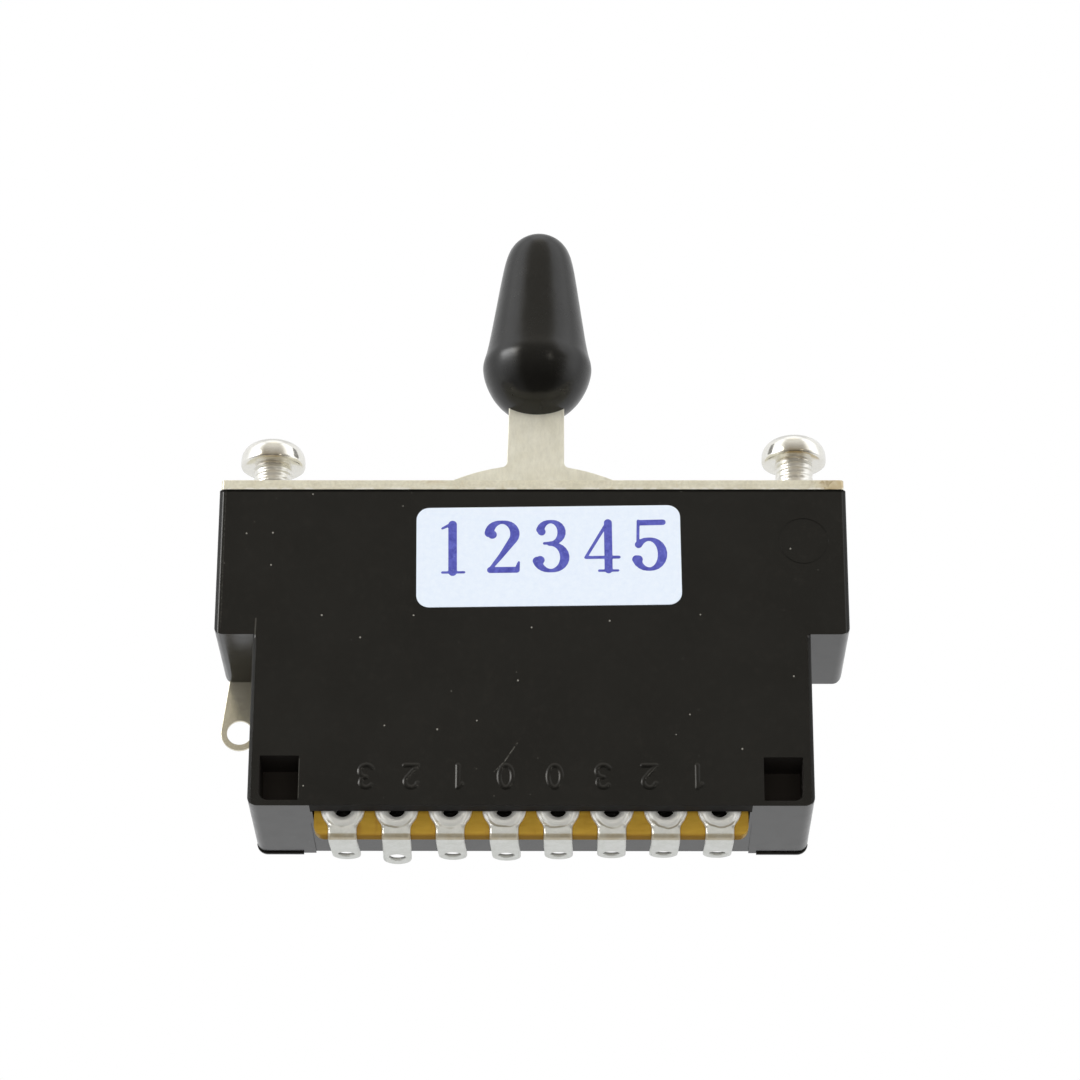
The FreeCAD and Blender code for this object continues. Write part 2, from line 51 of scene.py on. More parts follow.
# ---------------------------------------------------------------- materials
class Shade:
    """A small helper around one node tree; coordinates are the row frame's, in metres."""

    def __init__(self, name, metallic=0.0, specular=0.5, coat=0.0, coat_rough=0.1):
        self.mat = bpy.data.materials.new(name)
        self.mat.use_nodes = True
        self.tree = self.mat.node_tree
        self.tree.nodes.clear()
        out = self.tree.nodes.new("ShaderNodeOutputMaterial")
        self.bsdf = self.tree.nodes.new("ShaderNodeBsdfPrincipled")
        self.tree.links.new(self.bsdf.outputs[0], out.inputs["Surface"])
        self.bsdf.inputs["Metallic"].default_value = metallic
        self.bsdf.inputs["Specular IOR Level"].default_value = specular
        self.bsdf.inputs["Coat Weight"].default_value = coat
        self.bsdf.inputs["Coat Roughness"].default_value = coat_rough
        self.co = self.tree.nodes.new("ShaderNodeTexCoord").outputs["Object"]
        self.height = None

    def node(self, kind, **ins):
        n = self.tree.nodes.new(kind)
        for k, v in ins.items():
            self.put(n.inputs[k], v)
        return n

    def put(self, socket, value):
        if isinstance(value, bpy.types.NodeSocket):
            self.tree.links.new(value, socket)
        else:
            socket.default_value = value

    def stretch(self, sx, sy, sz, rot=(0, 0, 0)):
        m = self.node("ShaderNodeMapping")
        self.put(m.inputs["Vector"], self.co)
        m.inputs["Scale"].default_value = (sx, sy, sz)
        m.inputs["Rotation"].default_value = rot
        return m.outputs[0]

    def noise(self, size_mm, detail=3.0, rough=0.5, distort=0.0, co=None):
        n = self.node("ShaderNodeTexNoise")
        self.put(n.inputs["Vector"], co or self.co)
        n.inputs["Scale"].default_value = 1000.0 / size_mm
        n.inputs["Detail"].default_value = detail
        n.inputs["Roughness"].default_value = rough
        n.inputs["Distortion"].default_value = distort
        return n.outputs["Fac"]

    def math(self, op, a, b=0.0, c=0.0, clamp=False):
        n = self.tree.nodes.new("ShaderNodeMath")
        n.operation = op
        n.use_clamp = clamp
        for i, v in enumerate((a, b, c)):
            self.put(n.inputs[i], v)
        return n.outputs[0]

    def span(self, fac, a, b, lo=0.0, hi=1.0):
        """fac from a..b stretched to lo..hi, clamped."""
        n = self.tree.nodes.new("ShaderNodeMapRange")
        n.clamp = True
        for i, v in enumerate((fac, a, b, lo, hi)):
            self.put(n.inputs[i], v)
        return n.outputs[0]

    def blend(self, fac, a, b):
        n = self.tree.nodes.new("ShaderNodeMix")
        n.data_type = "RGBA"
        self.put(n.inputs["Factor"], fac)
        self.put(n.inputs[6], a if isinstance(a, bpy.types.NodeSocket) else (*a, 1.0))
        self.put(n.inputs[7], b if isinstance(b, bpy.types.NodeSocket) else (*b, 1.0))
        return n.outputs[2]

    def bump(self, height, strength, depth_mm):
        n = self.tree.nodes.new("ShaderNodeBump")
        n.inputs["Strength"].default_value = strength
        n.inputs["Distance"].default_value = depth_mm * MM
        self.put(n.inputs["Height"], height)
        if self.height is not None:
            self.put(n.inputs["Normal"], self.height)
        self.height = n.outputs[0]
        self.put(self.bsdf.inputs["Normal"], self.height)

    def axes(self):
        s = self.tree.nodes.new("ShaderNodeSeparateXYZ")
        self.put(s.inputs[0], self.co)
        return s.outputs

    def color(self, v):
        self.put(self.bsdf.inputs["Base Color"], v if isinstance(v, bpy.types.NodeSocket) else (*v, 1.0))

    def rough(self, v):
        self.put(self.bsdf.inputs["Roughness"], v)


def segment_mask(s, x, z, a, b, half_mm):
    """1 on the line from a to b (x, z in mm), 0 off it."""
    ax, az, bx, bz = (v * MM for v in (*a, *b))
    dx, dz = bx - ax, bz - az
    l2 = dx * dx + dz * dz
    px, pz = s.math("SUBTRACT", x, ax), s.math("SUBTRACT", z, az)
    t = s.math("DIVIDE", s.math("ADD", s.math("MULTIPLY", px, dx), s.math("MULTIPLY", pz, dz)), l2, clamp=True)
    ex = s.math("SUBTRACT", px, s.math("MULTIPLY", t, dx))
    ez = s.math("SUBTRACT", pz, s.math("MULTIPLY", t, dz))
    d = s.math("SQRT", s.math("ADD", s.math("MULTIPLY", ex, ex), s.math("MULTIPLY", ez, ez)))
    return s.span(d, half_mm * MM, half_mm * 0.4 * MM)


def specks(s, cell_mm, radius_mm, share):
    """Sparse dots: 1 in a dot. share is the part of the cells that hold one."""
    v = s.node("ShaderNodeTexVoronoi")
    v.feature = "F1"
    s.put(v.inputs["Vector"], s.co)
    v.inputs["Scale"].default_value = 1000.0 / cell_mm
    sep = s.tree.nodes.new("ShaderNodeSeparateColor")
    s.put(sep.inputs[0], v.outputs["Color"])
    on = s.math("GREATER_THAN", sep.outputs[0], 1.0 - share)
    size = s.span(sep.outputs[1], 0.0, 1.0, radius_mm * 0.45 / cell_mm, radius_mm / cell_mm)
    dot = s.math("LESS_THAN", v.outputs["Distance"], size)
    return s.math("MULTIPLY", on, dot)


def make_black_moulding():
    s = Shade("black_moulding", specular=0.5)
    tone = s.noise(6.0, 4.0, 0.55)
    base = s.blend(s.span(tone, 0.3, 0.7), (0.0040, 0.0037, 0.0030), (0.0064, 0.0060, 0.0051))
    haze = s.span(s.noise(0.55, 5.0, 0.75, 0.6), 0.52, 0.74, 0.0, 0.55)
    base = s.blend(haze, base, (0.0135, 0.0122, 0.0102))
    dust = s.math("MAXIMUM", specks(s, 1.0, 0.085, 0.12), specks(s, 0.55, 0.035, 0.10))
    x, y, z = s.axes()
    front = s.math("LESS_THAN", y, -5.2 * MM)
    dust = s.math("MULTIPLY", dust, s.span(front, 0.0, 1.0, 0.6, 1.0))
    scratch_and_highlights = s.math("MAXIMUM", segment_mask(s, x, z, (-1.05, -21.73), (-2.0, -23.2), 0.075),
                     segment_mask(s, x, z, (-2.0, -23.2), (-2.75, -24.0), 0.05))
    fray = s.span(s.noise(0.25, 2.0, 0.7), 0.35, 0.62)
    # painted highlight: a thin light line where the left wing's corner rounding begins
    wear_and_edge_highlight = s.math("MULTIPLY", s.span(s.math("ABSOLUTE", s.math("SUBTRACT", s.math("ABSOLUTE", x), 23.78 * MM)),
                                     0.07 * MM, 0.02 * MM), s.span(z, -13.0 * MM, -11.5 * MM, 0.0, 0.42))
    scratch_and_highlights = s.math("MAXIMUM", scratch_and_highlights, s.math("MULTIPLY", wear_and_edge_highlight, s.math("LESS_THAN", x, 0.0)))
    scratch_and_highlights = s.math("MULTIPLY", s.math("MULTIPLY", scratch_and_highlights, front), fray)
    # painted highlight on the right rim of the left well
    well_rim_highlight = s.math("MULTIPLY", segment_mask(s, x, z, (-17.43, -23.0), (-17.43, -26.1), 0.05), front)
    scratch_and_highlights = s.math("MAXIMUM", scratch_and_highlights, s.math("MULTIPLY", well_rim_highlight, 0.5))
    # painted highlight line on the wing, above the lower body's left edge
    crest_highlight = s.math("MULTIPLY", segment_mask(s, x, z, (-21.09, -11.6), (-21.13, -13.3), 0.075), front)
    scratch_and_highlights = s.math("MAXIMUM", scratch_and_highlights, s.math("MULTIPLY", crest_highlight, 0.60))
    # a real scratch and the painted highlight lines, lighter in colour
    base = s.blend(s.math("MULTIPLY", scratch_and_highlights, 0.55), base, (0.12, 0.115, 0.10))
    base = s.blend(s.math("MULTIPLY", dust, 0.75), base, (0.30, 0.29, 0.26))
    # matt as moulded: the two wells, and the front wall's lower edge between the feet
    ax = s.math("ABSOLUTE", x)
    well = s.math("MULTIPLY", s.math("LESS_THAN", s.math("ABSOLUTE", s.math("SUBTRACT", ax, 18.95 * MM)), 1.52 * MM),
                  s.math("LESS_THAN", s.math("ABSOLUTE", s.math("ADD", z, 24.55 * MM)), 1.85 * MM))
    well = s.math("MULTIPLY", well, s.math("GREATER_THAN", y, -5.12 * MM))
    well = s.math("MULTIPLY", well, s.math("LESS_THAN", y, 4.0 * MM))
    under = s.math("MULTIPLY", s.math("LESS_THAN", z, -26.64 * MM), s.math("LESS_THAN", ax, 16.6 * MM))
    under = s.math("MULTIPLY", under, s.math("LESS_THAN", y, -3.9 * MM))
    matt = s.math("MAXIMUM", well, under)
    base = s.blend(under, base, (0.0032, 0.0028, 0.0022))
    s.color(s.blend(well, base, (0.0175, 0.0145, 0.0120)))
    wear = s.span(s.noise(1.4, 5.0, 0.65, 0.4), 0.25, 0.75, 0.12, 0.27)
    r = s.math("MAXIMUM", wear, s.math("MULTIPLY", s.math("MAXIMUM", dust, scratch_and_highlights), 0.7))
    r = s.math("MAXIMUM", r, s.math("MULTIPLY", matt, 0.85))
    # the upright front corners have lost their gloss
    upper = s.math("MULTIPLY", s.span(ax, 23.96 * MM, 24.05 * MM), s.math("GREATER_THAN", z, -13.5 * MM))
    lower = s.math("MULTIPLY", s.span(ax, 20.96 * MM, 21.05 * MM), s.math("LESS_THAN", z, -13.15 * MM))
    lower = s.math("MULTIPLY", lower, s.math("LESS_THAN", ax, 21.6 * MM))
    corner = s.math("MULTIPLY", s.math("MAXIMUM", upper, lower), s.math("LESS_THAN", y, -4.90 * MM))
    s.rough(s.math("MAXIMUM", r, s.math("MULTIPLY", corner, 0.72)))
    s.bump(s.span(z, -1.0 * MM, -0.80 * MM), 1.0, 0.11)
    s.bump(s.noise(0.9, 2.0, 0.5), 0.10, 0.012)
    s.bump(s.noise(0.12, 2.0, 0.6), 0.10, 0.002)
    return s.mat


def make_nickel(name, light, dark, rough_lo, rough_hi, blotch_mm, grain=0.25, brushed=None, spots=0.0,
                metallic=1.0, finish=None, speckle=0.09, dull=None):
    s = Shade(name, metallic=metallic)
    blotch = s.span(s.noise(blotch_mm, 5.0, 0.6, 0.3), 0.36, 0.64)
    tone = s.blend(blotch, dark, light)
    streaks = s.stretch(*brushed) if brushed else None
    fine = s.span(s.noise(blotch_mm * 0.2, 3.0, 0.6, 0.0, streaks), 0.3, 0.7, 1.0 - speckle, 1.0)
    shade = s.node("ShaderNodeMix")
    shade.data_type = "RGBA"
    shade.blend_type = "MULTIPLY"
    shade.inputs["Factor"].default_value = 1.0
    comb = s.tree.nodes.new("ShaderNodeCombineColor")
    for i in range(3):
        s.put(comb.inputs[i], fine)
    s.put(shade.inputs[6], tone)
    s.put(shade.inputs[7], comb.outputs[0])
    tone = shade.outputs[2]
    if spots:
        stain = s.span(s.noise(2.2, 6.0, 0.7, 0.8), 0.60, 0.72, 0.0, spots)
        tone = s.blend(stain, tone, tuple(c * k for c, k in zip(dark, (0.72, 0.62, 0.50))))
    if finish:
        tone = finish(s, tone)
    s.color(tone)
    r = s.span(s.noise(0.5, 4.0, 0.65, 0.0, streaks), 0.3, 0.7, rough_lo, rough_hi)
    s.rough(s.math("MAXIMUM", r, dull(s)) if dull else r)
    s.bump(s.noise(0.10, 3.0, 0.65, 0.0, streaks), grain, 0.004)
    s.bump(s.noise(1.3, 2.0, 0.5), grain * 0.5, 0.01)
    return s.mat


def riveted_and_painted_light(s, tone):
    """A faint pressed crescent below each eyelet on the front of the solder lugs, its dark line a painted shadow of the
    eyelet's rim; the rings painted lighter where the front wall shades them, and painted shade along the bend.
    """
    x, y, z = s.axes()
    u = s.math("SUBTRACT", s.math("FLOORED_MODULO", x, 4.05 * MM), 2.025 * MM)
    w = s.math("SUBTRACT", z, -26.34 * MM)
    r = s.math("SQRT", s.math("ADD", s.math("MULTIPLY", u, u), s.math("MULTIPLY", w, w)))
    # the ring falls away towards its rim, the neck and the tail towards their edges
    ring = s.math("POWER", s.span(r, 1.12 * MM, 1.66 * MM), 2.0)
    neck = s.math("MULTIPLY", s.math("POWER", s.span(s.math("ABSOLUTE", u), 0.86 * MM, 1.08 * MM), 2.0), 0.35)
    k = s.span(w, -1.55 * MM, -1.25 * MM)
    ring = s.math("MULTIPLY", ring, s.span(s.math("ABSOLUTE", u), 0.75 * MM, 1.30 * MM))
    fall = s.math("ADD", s.math("MULTIPLY", ring, k), s.math("MULTIPLY", neck, s.math("SUBTRACT", 1.0, k)))
    s.bump(s.math("MULTIPLY", fall, -1.0), 1.0, 0.24)
    # painted light: the rings lighter towards the top, where the front wall shades them
    tone = s.blend(s.span(w, -1.9 * MM, -1.2 * MM), tone, (0.96, 0.955, 0.91))
    # painted shade: a brownish band along the bend
    bend_shade = s.math("MULTIPLY", s.span(z, -28.26 * MM, -28.36 * MM), s.span(y, -3.03 * MM, -3.13 * MM))
    bend_shade = s.math("MULTIPLY", bend_shade, s.span(s.noise(0.8, 4.0, 0.6), 0.3, 0.7, 0.65, 1.0))
    tone = s.blend(bend_shade, tone, (0.47, 0.40, 0.27))
    wander = s.span(s.noise(1.7, 2.0, 0.5), 0.3, 0.7, -0.12 * MM, 0.12 * MM)
    off = s.math("ABSOLUTE", s.math("SUBTRACT", s.math("ADD", r, wander), 1.47 * MM))
    line = s.span(off, 0.10 * MM, 0.03 * MM)
    low = s.math("MULTIPLY", s.span(w, -0.75 * MM, -1.05 * MM), s.math("LESS_THAN", y, -3.5 * MM))
    part = s.span(s.noise(2.3, 2.0, 0.5), 0.42, 0.58)
    # painted shadow: the crescent line darkens the colour under the eyelet's rim
    crease_and_shadow = s.math("MULTIPLY", s.math("MULTIPLY", line, low), part)
    s.bump(s.math("MULTIPLY", crease_and_shadow, -1.0), 0.8, 0.03)
    return s.blend(s.math("MULTIPLY", crease_and_shadow, 0.8), tone, (0.34, 0.29, 0.20))


def on_thread(s):
    """Roughness of the two cut threads, duller than the polished heads."""
    x, y, z = s.axes()
    h = s.span(x, -1.0 * MM, 1.0 * MM, 3.2 * MM, 3.55 * MM)
    return s.math("MULTIPLY", s.math("LESS_THAN", z, h), 0.31)


def under_head(s, tone):
    """Brownish painted reflection and shade on the underside of the two screw heads, in a band down their middle."""
    x, y, z = s.axes()
    h = s.span(x, -1.0 * MM, 1.0 * MM, 3.3 * MM, 3.65 * MM)
    over = s.math("SUBTRACT", z, h)
    near = s.math("MAXIMUM", s.math("POWER", s.span(over, 1.0 * MM, 0.05 * MM), 1.6), 0.0)
    near = s.math("MULTIPLY", near, s.math("GREATER_THAN", over, -0.14 * MM))
    near = s.math("MULTIPLY", near, s.span(over, 0.0, 0.03 * MM, 0.52, 1.0))
    off = s.math("ABSOLUTE", s.math("SUBTRACT", s.math("ABSOLUTE", x), 20.65 * MM))
    brown_reflection = s.math("MULTIPLY", near, s.span(off, 1.35 * MM, 0.45 * MM))
    # weaker painted reflection down the middle of the thread
    down = s.math("MULTIPLY", s.span(over, -0.10 * MM, -0.14 * MM), s.span(off, 0.85 * MM, 0.20 * MM, 0.0, 0.30))
    brown_reflection = s.math("MAXIMUM", brown_reflection, down)
    brown_reflection = s.math("MULTIPLY", brown_reflection, s.span(s.noise(1.5, 3.0, 0.5), 0.3, 0.6, 0.6, 1.0))
    return s.blend(brown_reflection, tone, (0.33, 0.245, 0.125))


def worn_end_and_highlights(s, tone):
    """Yellowed patch on the right end of the plate, and painted highlights along its lower edge."""
    x, y, z = s.axes()
    patch = s.math("MULTIPLY", s.span(x, 21.8 * MM, 22.6 * MM), s.span(s.noise(1.3, 4.0, 0.6), 0.35, 0.6, 0.35, 1.0))
    tone = s.blend(s.math("MULTIPLY", patch, 0.92), tone, (0.60, 0.485, 0.29))
    blots = s.span(s.noise(0.75, 4.0, 0.65, 0.5), 0.50, 0.62, 0.0, 0.60)
    tone = s.blend(s.math("MULTIPLY", s.span(x, 21.3 * MM, 22.0 * MM), blots), tone, (0.34, 0.235, 0.105))
    # painted highlights: bright spots along the lower edge here and there
    painted_edge_highlights = s.math("MULTIPLY", s.span(z, -0.60 * MM, -0.70 * MM), s.span(s.noise(0.9, 3.0, 0.6), 0.48, 0.58, 0.0, 0.6))
    tone = s.blend(painted_edge_highlights, tone, (0.98, 0.97, 0.92))
    line = s.span(s.math("ABSOLUTE", s.math("ADD", z, 0.42 * MM)), 0.10 * MM, 0.02 * MM, 0.0, 0.30)
    line = s.math("MULTIPLY", line, s.span(s.noise(3.0, 3.0, 0.6), 0.4, 0.6))
    return s.blend(line, tone, (0.62, 0.56, 0.42))


def make_tip():
    s = Shade("black_tip", specular=0.42)
    tone = s.span(s.noise(2.5, 4.0, 0.6), 0.3, 0.7)
    base = s.blend(tone, (0.0042, 0.0040, 0.0034), (0.0072, 0.0068, 0.0058))
    dust = specks(s, 1.5, 0.05, 0.12)
    s.color(s.blend(s.math("MULTIPLY", dust, 0.5), base, (0.16, 0.155, 0.145)))
    s.rough(s.math("MAXIMUM", s.span(s.noise(1.1, 5.0, 0.6, 0.3), 0.3, 0.7, 0.20, 0.29), s.math("MULTIPLY", dust, 0.8)))
    s.bump(s.noise(1.8, 2.0, 0.5), 0.18, 0.03)
    s.bump(s.noise(0.16, 3.0, 0.6), 0.14, 0.003)
    return s.mat


def make_board():
    s = Shade("board_laminate", specular=0.30)
    fibre = s.noise(0.9, 5.0, 0.65, 0.2, s.stretch(0.35, 1.0, 1.6))
    tone = s.blend(s.span(fibre, 0.3, 0.7), (0.38, 0.222, 0.024), (0.49, 0.305, 0.042))
    streak = s.span(s.noise(1.6, 3.0, 0.5, 0.6, s.stretch(1.5, 1.0, 0.35)), 0.56, 0.72, 0.0, 0.45)
    tone = s.blend(streak, tone, (0.24, 0.090, 0.020))
    x, y, z = s.axes()
    edge = s.span(z, -28.16 * MM, -28.34 * MM, 0.0, 0.9)
    s.color(s.blend(edge, tone, (0.29, 0.155, 0.017)))
    s.rough(s.math("MAXIMUM", s.span(s.noise(0.35, 3.0, 0.6), 0.3, 0.7, 0.45, 0.6), edge))
    s.bump(s.noise(0.14, 3.0, 0.6, 0.0, s.stretch(0.4, 1.0, 1.4)), 0.25, 0.005)
    s.bsdf.inputs["Subsurface Weight"].default_value = 0.12
    s.bsdf.inputs["Subsurface Radius"].default_value = (0.0008, 0.0004, 0.0001)
    s.bsdf.inputs["Subsurface Scale"].default_value = 1.0
    return s.mat


def make_label():
    s = Shade("label_paper", specular=0.35)
    fibre = s.noise(0.45, 5.0, 0.7, 0.4)
    s.color(s.blend(s.span(fibre, 0.3, 0.7), (0.725, 0.805, 0.935), (0.785, 0.855, 0.960)))
    s.rough(s.span(s.noise(0.8, 3.0, 0.6), 0.3, 0.7, 0.48, 0.62))
    s.bump(s.noise(0.16, 4.0, 0.7), 0.22, 0.006)
    return s.mat


def make_ink():
    s = Shade("label_ink", specular=0.3)
    patch = s.span(s.noise(0.55, 5.0, 0.7, 0.5), 0.30, 0.70)
    tone = s.blend(patch, (0.048, 0.052, 0.32), (0.130, 0.145, 0.55))
    wear_and_edge_highlight = s.span(s.noise(0.22, 4.0, 0.75), 0.58, 0.75, 0.0, 0.35)
    s.color(s.blend(wear_and_edge_highlight, tone, (0.40, 0.46, 0.80)))
    s.rough(0.5)
    s.bump(s.noise(0.12, 3.0, 0.6), 0.15, 0.003)
    return s.mat


def make_plain(name, light, dark, rough, metallic=0.0, grain_mm=0.2, specular=0.5, depth=0.004):
    """Mottled finish for the pieces inside the housing."""
    s = Shade(name, metallic=metallic, specular=specular)
    s.color(s.blend(s.span(s.noise(1.6, 4.0, 0.6, 0.3), 0.3, 0.7), dark, light))
    s.rough(s.span(s.noise(0.5, 4.0, 0.6), 0.3, 0.7, rough * 0.8, rough * 1.2))
    s.bump(s.noise(grain_mm, 3.0, 0.6), 0.2, depth)
    return s.mat


M = {
    "black_moulding": make_black_moulding(),
    "nickel_plate": make_nickel("nickel_plate", (0.86, 0.83, 0.69), (0.77, 0.73, 0.585), 0.38, 0.52, 1.2,
                                grain=0.35, spots=0.6, metallic=0.45, speckle=0.14, finish=worn_end_and_highlights),
    "bright_screw": make_nickel("bright_screw", (0.91, 0.90, 0.86), (0.87, 0.855, 0.80), 0.11, 0.17, 1.2, grain=0.06,
                                finish=under_head, dull=on_thread, speckle=0.04, metallic=0.74),
    "lever_steel": make_nickel("lever_steel", (0.86, 0.84, 0.735), (0.78, 0.755, 0.64), 0.40, 0.52, 1.6, grain=0.30,
                               brushed=(1.0, 1.0, 0.35, (0, math.radians(35), 0)), metallic=0.45, speckle=0.12),
    "black_tip": make_tip(),
    "carrier_plastic": make_plain("carrier_plastic", (0.76, 0.73, 0.65), (0.68, 0.65, 0.57), 0.45),
    "bronze": make_plain("bronze", (0.80, 0.52, 0.30), (0.70, 0.43, 0.22), 0.26, metallic=1.0),
    "pin_steel": make_plain("pin_steel", (0.58, 0.58, 0.57), (0.48, 0.48, 0.47), 0.25, metallic=1.0),
    "board_laminate": make_board(),
    "tinned_metal": make_nickel("tinned_metal", (0.82, 0.83, 0.795), (0.745, 0.755, 0.71), 0.28, 0.42, 0.9, grain=0.25,
                                metallic=0.48, finish=riveted_and_painted_light),
    "silvered_contact": make_plain("silvered_contact", (0.82, 0.78, 0.68), (0.74, 0.69, 0.57), 0.24, metallic=1.0),
    "spring_steel": make_plain("spring_steel", (0.46, 0.46, 0.48), (0.36, 0.36, 0.38), 0.28, metallic=1.0),
    "ground_plate": make_nickel("ground_plate", (0.93, 0.875, 0.71), (0.86, 0.80, 0.63), 0.12, 0.19, 1.1, grain=0.15,
                                metallic=0.74),
    "label_paper": make_label(),
    "label_ink": make_ink(),
}

for row in frame["record"]["subparts"]:
    ob = nodes[row["node"]]
    ob.data.materials.clear()
    ob.data.materials.append(M[row["material_slot"]])


# ---------------------------------------------------------------- softened edges on the rigid pieces
def soften(name, width_mm, segments=3, angle=32.0):
    """Welds the node's facets and rounds its sharp edges with modifiers; its own vertices stay."""
    o = nodes[name]
    me = o.data
    if "custom_normal" in me.attributes:
        me.attributes.remove(me.attributes["custom_normal"])
    if "sharp_edge" in me.attributes:
        me.attributes.remove(me.attributes["sharp_edge"])
    me.polygons.foreach_set("use_smooth", [True] * len(me.polygons))
    w = o.modifiers.new("weld", "WELD")
    w.merge_threshold = 2e-6
    d = o.modifiers.new("flat", "DECIMATE")
    d.decimate_type = "DISSOLVE"
    d.angle_limit = math.radians(0.4)
    b = o.modifiers.new("edges", "BEVEL")
    b.width = width_mm * MM
    b.segments = segments
    b.limit_method = "ANGLE"
    b.angle_limit = math.radians(angle)
    b.use_clamp_overlap = True
    n = o.modifiers.new("normals", "WEIGHTED_NORMAL")
    n.mode = "FACE_AREA"
    n.keep_sharp = True


soften("housing", 0.10)
soften("top_plate", 0.06, 2)
soften("lever", 0.06, 2)
soften("ground_lug", 0.05, 2)
soften("terminal_board", 0.06, 2)
for i in range(1, 9):
    soften("solder_lug_%d" % i, 0.08, 2)


# ---------------------------------------------------------------- small mesh tools
def mesh_object(name, verts, faces, material, smooth=False):
    me = bpy.data.meshes.new(name)
    me.from_pydata([tuple(v) for v in verts], [], [tuple(f) for f in faces])
    me.validate()
    me.materials.append(material)
    if smooth:
        me.polygons.foreach_set("use_smooth", [True] * len(me.polygons))
    o = bpy.data.objects.new(name, me)
    scene.collection.objects.link(o)
    return o


def arc(cx, cz, rx, rz, a0, a1, n, w0=None, w1=None):
    """Points of an elliptic arc, with a stroke half width that swells towards the sides."""
    pts = []
    for i in range(n + 1):
        a = math.radians(a0 + (a1 - a0) * i / n)
        p = (cx + rx * math.cos(a), cz + rz * math.sin(a))
        if w0 is not None:
            p += (w0 + (w1 - w0) * abs(math.cos(a)) ** 1.4,)
        pts.append(p)
    return pts


def stroke_field(strokes, X, Z, width=None):
    """Signed distance to strokes; each is a list of (x, z) or (x, z, half width)."""
    best = np.full(X.shape, 1e9)
    for st in strokes:
        if len(st) == 1:
            x, z, w = st[0]
            best = np.minimum(best, np.hypot(X - x, Z - z) - w)
            continue
        for p, q in zip(st, st[1:]):
            wp, wq = (p[2], q[2]) if width is None else (width, width)
            dx, dz = q[0] - p[0], q[1] - p[1]
            l2 = dx * dx + dz * dz + 1e-12
            t = np.clip(((X - p[0]) * dx + (Z - p[1]) * dz) / l2, 0, 1)
            d = np.hypot(X - p[0] - t * dx, Z - p[1] - t * dz)
            best = np.minimum(best, d - (wp + (wq - wp) * t))
    return best


def contour_mesh(F, xs, zs, level, height, foot):
    """Marching squares of F < level. height(f) is the top face's height, foot the closed underside's.
    Gives vertices (x, z, h) and faces of a closed solid."""
    verts, index, faces = [], {}, []

    def corner(i, j):
        k = ("c", i, j)
        if k not in index:
            index[k] = len(verts)
            verts.append((xs[i], zs[j], height(F[j, i])))
        return index[k]

    def cut(i0, j0, i1, j1):
        k = ("e",) + tuple(sorted(((i0, j0), (i1, j1))))
        if k not in index:
            f0, f1 = F[j0, i0], F[j1, i1]
            t = (level - f0) / (f1 - f0)
            t = min(max(t, 0.02), 0.98)
            index[k] = len(verts)
            verts.append((xs[i0] + (xs[i1] - xs[i0]) * t, zs[j0] + (zs[j1] - zs[j0]) * t, height(level)))
        return index[k]

    ins = F < level
    for j in range(len(zs) - 1):
        for i in range(len(xs) - 1):
            ring = [(i, j), (i + 1, j), (i + 1, j + 1), (i, j + 1)]
            on = [ins[b, a] for a, b in ring]
            if not any(on):
                continue
            poly = []
            for k in range(4):
                a, b = ring[k], ring[(k + 1) % 4]
                if on[k]:
                    poly.append(corner(*a))
                if on[k] != on[(k + 1) % 4]:
                    poly.append(cut(*a, *b))
            if on[0] == on[2] and on[1] == on[3] and on[0] != on[1]:
                # two separate corners
                if on[0]:
                    faces.append((poly[0], poly[1], poly[5]))
                    faces.append((poly[2], poly[3], poly[4]))
                else:
                    faces.append((poly[0], poly[1], poly[2]))
                    faces.append((poly[3], poly[4], poly[5]))
                continue
            if len(poly) >= 3:
                faces.append(tuple(poly))
    # closed underside and walls
    n = len(verts)
    low = [(x, z, foot) for x, z, h in verts]
    edges = {}
    for f in faces:
        for a, b in zip(f, f[1:] + f[:1]):
            edges[(a, b)] = True
    walls = [(a, b) for (a, b) in edges if (b, a) not in edges]
    all_faces = list(faces) + [tuple(v + n for v in reversed(f)) for f in faces]
    all_faces += [(b, a, a + n, b + n) for a, b in walls]
    return verts + low, all_faces


SANS = {
    "0": [arc(0.31, 0.5, 0.25, 0.44, 0, 360, 28)],
    "1": [[(0.34, 0.06), (0.34, 0.94), (0.18, 0.80)]],
    "2": [arc(0.31, 0.71, 0.235, 0.23, 165, -35, 14) + [(0.07, 0.06), (0.57, 0.06)]],
    "3": [arc(0.29, 0.735, 0.215, 0.205, 150, -90, 14) + arc(0.29, 0.29, 0.25, 0.24, 90, -150, 16)],
}
TH, TK = 0.030, 0.082
SERIF = {
    "1": [[(0.30, 0.03, 0.075), (0.30, 0.93, 0.075)], [(0.30, 0.955, 0.03), (0.12, 0.86, 0.02)],
          [(0.12, 0.022, 0.022), (0.50, 0.022, 0.022)]],
    "2": [[(0.145, 0.73, 0.078)], arc(0.315, 0.745, 0.225, 0.222, 175, -28, 18, TH, TK)
          + [(0.30, 0.33, 0.045), (0.105, 0.075, 0.03)],
          [(0.105, 0.058, 0.056), (0.565, 0.058, 0.056)], [(0.575, 0.07, 0.045), (0.605, 0.20, 0.02)]],
    "3": [[(0.145, 0.775, 0.07)], arc(0.305, 0.762, 0.19, 0.205, 165, -95, 18, TH, 0.072),
          [(0.19, 0.552, 0.024), (0.31, 0.556, 0.03)], arc(0.30, 0.285, 0.245, 0.252, 95, -165, 20, TH, TK),
          [(0.115, 0.235, 0.078)]],
    "4": [[(0.44, 0.945, 0.03), (0.055, 0.285, 0.026)], [(0.05, 0.275, 0.028), (0.63, 0.275, 0.028)],
          [(0.445, 0.93, 0.07), (0.445, 0.04, 0.07)], [(0.28, 0.022, 0.022), (0.61, 0.022, 0.022)]],
    "5": [[(0.155, 0.925, 0.052), (0.555, 0.93, 0.052)], [(0.125, 0.96, 0.026), (0.11, 0.50, 0.026)],
          arc(0.305, 0.325, 0.235, 0.285, 140, -160, 20, TH, TK), [(0.115, 0.225, 0.078)]],
}


